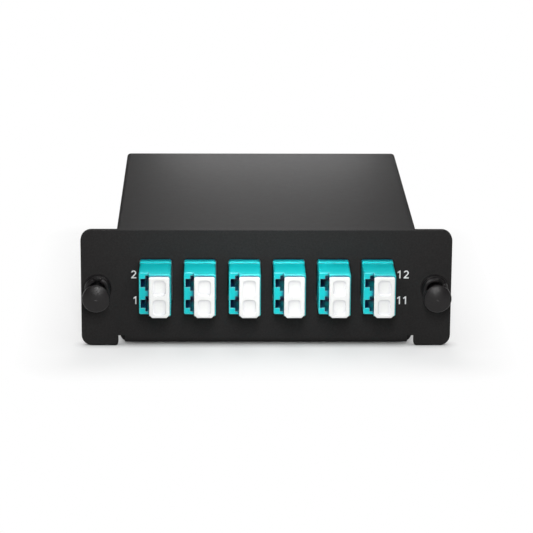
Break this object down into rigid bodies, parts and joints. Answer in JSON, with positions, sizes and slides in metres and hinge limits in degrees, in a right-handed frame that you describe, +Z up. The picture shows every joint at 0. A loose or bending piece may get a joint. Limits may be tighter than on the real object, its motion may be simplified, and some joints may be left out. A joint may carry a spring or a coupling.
{
  "type": "fibre cassette",
  "caption": "Black sheet-metal fibre cassette with a row of aqua duplex LC ports in its front panel, dust plugs, two push latches and a multi-fibre port behind.",
  "frame": {"origin": "middle of the front panel's rear face, midway between the two latches", "axes": "+X to the right seen from the front, +Y to the back, into the chassis, +Z up"},
  "size_m": [0.109, 0.1358, 0.0354],
  "materials": {
    "powder_coat": "fine-textured black powder coat",
    "black_zinc": "black zinc",
    "steel": "bright zinc",
    "spring_steel": "plain stainless strip",
    "black_nylon": "moulded, satin",
    "aqua_moulding": "moulded, semi-gloss",
    "black_moulding": "moulded, satin",
    "beige_moulding": "moulded, satin",
    "white_boot": "soft moulding",
    "white_plastic": "moulded, slightly milky",
    "ceramic": "ground white ceramic",
    "aqua_jacket": "extruded jacket"
  },
  "bodies": {
    "cassette": {"base_tray": "powder_coat", "top_cover": "powder_coat", "cover_screws": "black_zinc", "clinch_nuts": "steel", "alignment_sleeves": "ceramic", "lc_ferrules": "ceramic", "lc_boots": "white_boot", "fanout_block": "black_moulding", "trunk_fibre": "aqua_jacket", "mpo_adapter": "black_moulding", "mpo_adapter_screws": "steel", "mpo_plug_housing": "aqua_moulding", "mpo_ferrule": "black_moulding", "mpo_guide_pins": "steel", "mpo_boot": "black_moulding", "latch_grommet_left": "black_nylon", "latch_grommet_right": "black_nylon", "lc_adapter_1": "aqua_moulding", "adapter_clip_1": "spring_steel", "lc_plugs_1": "beige_moulding", "fibre_leads_1": "aqua_jacket", "lc_adapter_2": "aqua_moulding", "adapter_clip_2": "spring_steel", "lc_plugs_2": "beige_moulding", "fibre_leads_2": "aqua_jacket", "lc_adapter_3": "aqua_moulding", "adapter_clip_3": "spring_steel", "lc_plugs_3": "beige_moulding", "fibre_leads_3": "aqua_jacket", "lc_adapter_4": "aqua_moulding", "adapter_clip_4": "spring_steel", "lc_plugs_4": "beige_moulding", "fibre_leads_4": "aqua_jacket", "lc_adapter_5": "aqua_moulding", "adapter_clip_5": "spring_steel", "lc_plugs_5": "beige_moulding", "fibre_leads_5": "aqua_jacket", "lc_adapter_6": "aqua_moulding", "adapter_clip_6": "spring_steel", "lc_plugs_6": "beige_moulding", "fibre_leads_6": "aqua_jacket"},
    "plunger_left": {"latch_plunger_left": "black_nylon"},
    "plunger_right": {"latch_plunger_right": "black_nylon"},
    "mpo_cap": {"mpo_dust_cap": "white_plastic"},
    "mpo_slide_sleeve": {"mpo_slider": "aqua_moulding"},
    "dust_plug_1": {"dust_plug_1": "white_plastic"},
    "dust_plug_2": {"dust_plug_2": "white_plastic"},
    "dust_plug_3": {"dust_plug_3": "white_plastic"},
    "dust_plug_4": {"dust_plug_4": "white_plastic"},
    "dust_plug_5": {"dust_plug_5": "white_plastic"},
    "dust_plug_6": {"dust_plug_6": "white_plastic"}
  },
  "joints": [
    {"name": "push_plunger_left", "type": "slide", "parent": "cassette", "child": "plunger_left", "axis": [0, 1, 0], "range_m": [0, 0.0075]},
    {"name": "push_plunger_right", "type": "slide", "parent": "cassette", "child": "plunger_right", "axis": [0, 1, 0], "range_m": [0, 0.0075]},
    {"name": "pull_dust_plug_1", "type": "slide", "parent": "cassette", "child": "dust_plug_1", "axis": [0, -1, 0], "range_m": [0, 0.012]},
    {"name": "pull_dust_plug_2", "type": "slide", "parent": "cassette", "child": "dust_plug_2", "axis": [0, -1, 0], "range_m": [0, 0.012]},
    {"name": "pull_dust_plug_3", "type": "slide", "parent": "cassette", "child": "dust_plug_3", "axis": [0, -1, 0], "range_m": [0, 0.012]},
    {"name": "pull_dust_plug_4", "type": "slide", "parent": "cassette", "child": "dust_plug_4", "axis": [0, -1, 0], "range_m": [0, 0.012]},
    {"name": "pull_dust_plug_5", "type": "slide", "parent": "cassette", "child": "dust_plug_5", "axis": [0, -1, 0], "range_m": [0, 0.012]},
    {"name": "pull_dust_plug_6", "type": "slide", "parent": "cassette", "child": "dust_plug_6", "axis": [0, -1, 0], "range_m": [0, 0.012]},
    {"name": "pull_mpo_cap", "type": "slide", "parent": "cassette", "child": "mpo_cap", "axis": [0, 1, 0], "range_m": [0, 0.014]},
    {"name": "draw_mpo_sleeve", "type": "slide", "parent": "cassette", "child": "mpo_slide_sleeve", "axis": [0, -1, 0], "range_m": [0, 0.0012], "stiffness_N_per_m": 2000, "springref_m": -0.001}
  ]
}
